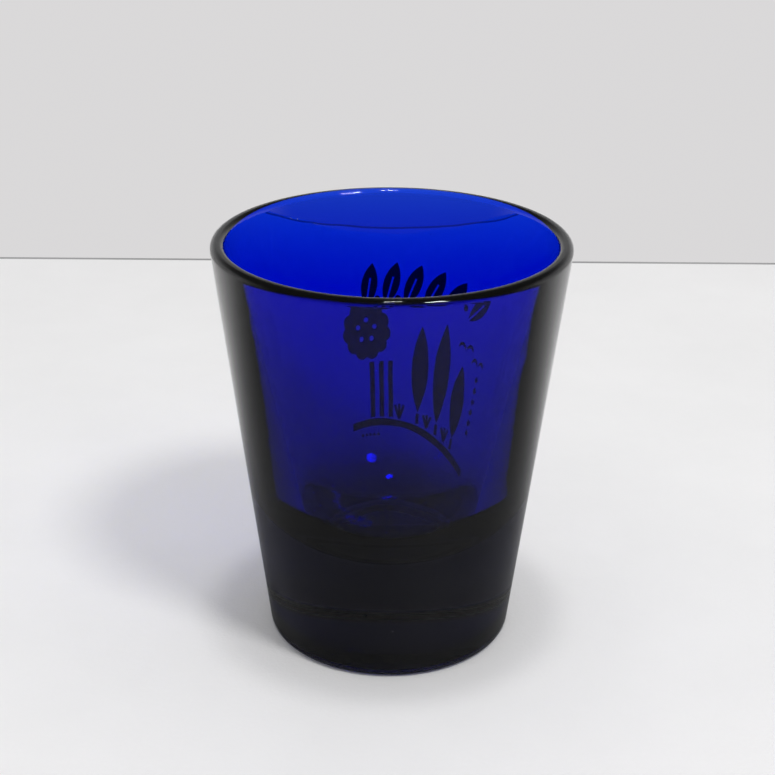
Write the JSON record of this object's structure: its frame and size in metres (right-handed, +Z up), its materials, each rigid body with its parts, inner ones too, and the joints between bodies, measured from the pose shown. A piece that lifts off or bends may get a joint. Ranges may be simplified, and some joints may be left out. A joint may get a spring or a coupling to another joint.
{
  "type": "shot glass",
  "caption": "Conical pressed shot glass in dark cobalt blue, with a thick base, a fire-polished rim and a black enamel print of a garden on one side.",
  "frame": {"origin": "centre of the base, on the surface that the glass stands on", "axes": "+Z up along the axis of the glass; the print faces +Y and the blank side faces -Y"},
  "size_m": [0.048, 0.048, 0.0575],
  "materials": {
    "cobalt_glass": "pressed and fire-polished, deep cobalt blue through the body",
    "black_enamel": "screen-printed glass enamel, fired on, semi-gloss"
  },
  "bodies": {
    "root": {"glass_body": "cobalt_glass", "print_garland_leaves": "black_enamel", "print_garland_berries": "black_enamel", "print_tree_crown": "black_enamel", "print_tree_trunks": "black_enamel", "print_ground_line": "black_enamel", "print_cypress_crowns": "black_enamel", "print_cypress_stems": "black_enamel", "print_grass_tufts": "black_enamel", "print_birds": "black_enamel", "print_side_diamonds": "black_enamel", "print_row_dots": "black_enamel"}
  },
  "joints": []
}
